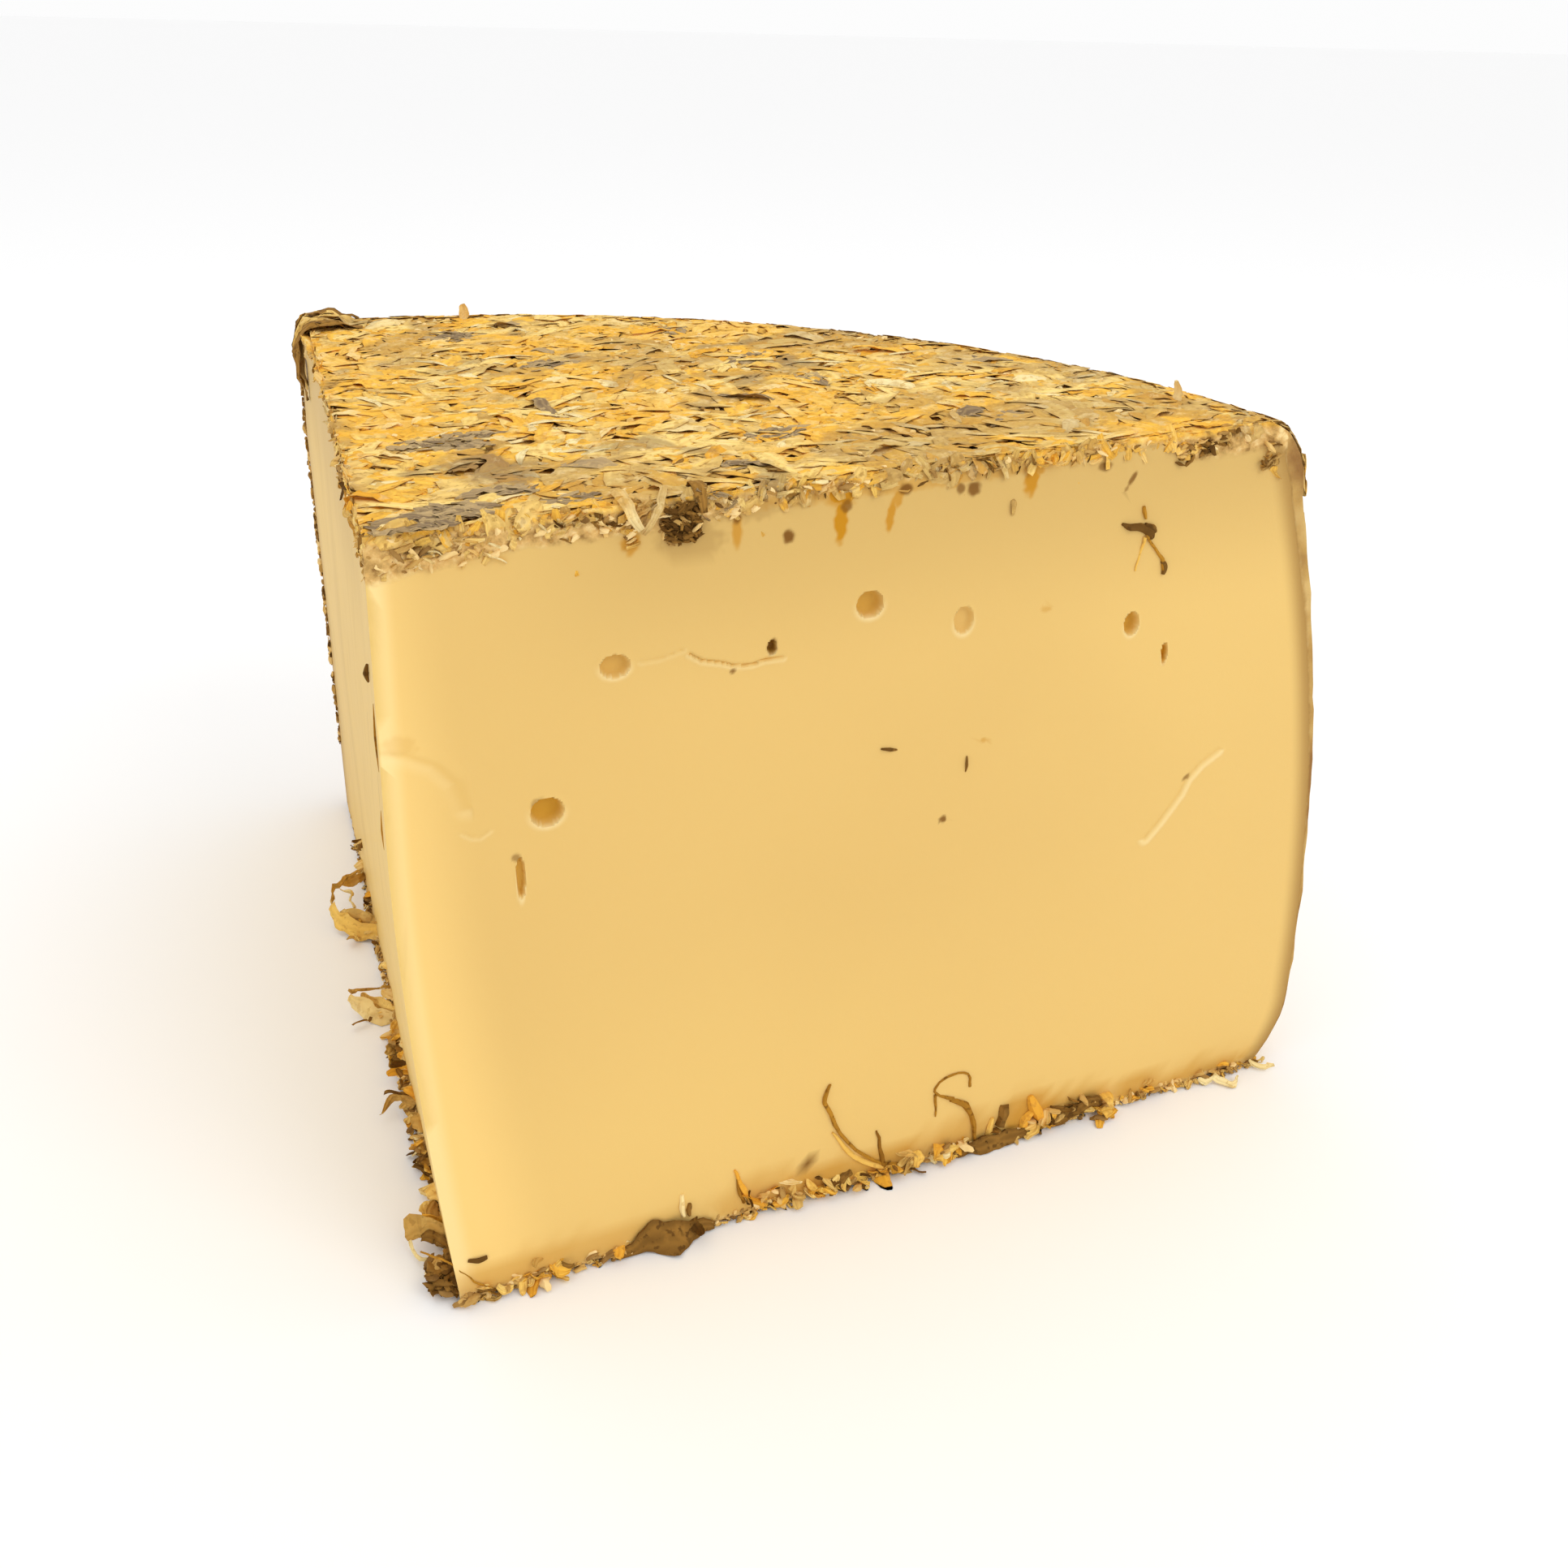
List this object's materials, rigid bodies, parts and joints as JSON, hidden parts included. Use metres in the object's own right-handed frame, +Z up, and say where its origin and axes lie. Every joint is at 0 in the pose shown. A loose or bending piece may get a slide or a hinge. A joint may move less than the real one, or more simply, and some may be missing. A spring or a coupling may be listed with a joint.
{
  "type": "tomme cheese wedge",
  "caption": "Quarter wheel of firm pale cheese with two cut faces, a barrel-shaped rim, small eyes and a rind packed with dried petals.",
  "frame": {"origin": "on the flat underside, 54 mm from the tip along the front cut face and 52 mm into the cheese, close under the centre of mass", "axes": "+Z up from the underside, +X along the front cut face from the tip to the rim, +Y away from the front cut face into the cheese"},
  "size_m": [0.1396, 0.1442, 0.1085],
  "materials": {
    "paste": "smooth pale yellow cut paste, faintly moist",
    "rind": "tan rind with crumbs, under a mat of petals",
    "orange_petal": "dried orange petals, matt and ribbed",
    "yellow_petal": "dried golden petals, matt and ribbed",
    "straw_petal": "dried cream and straw petals, matt",
    "grey_petal": "dried grey-purple petals, pressed flat",
    "brown_bit": "dried brown leaf bits and stalks"
  },
  "bodies": {
    "root": {"cheese_wedge": "paste"}
  },
  "joints": []
}
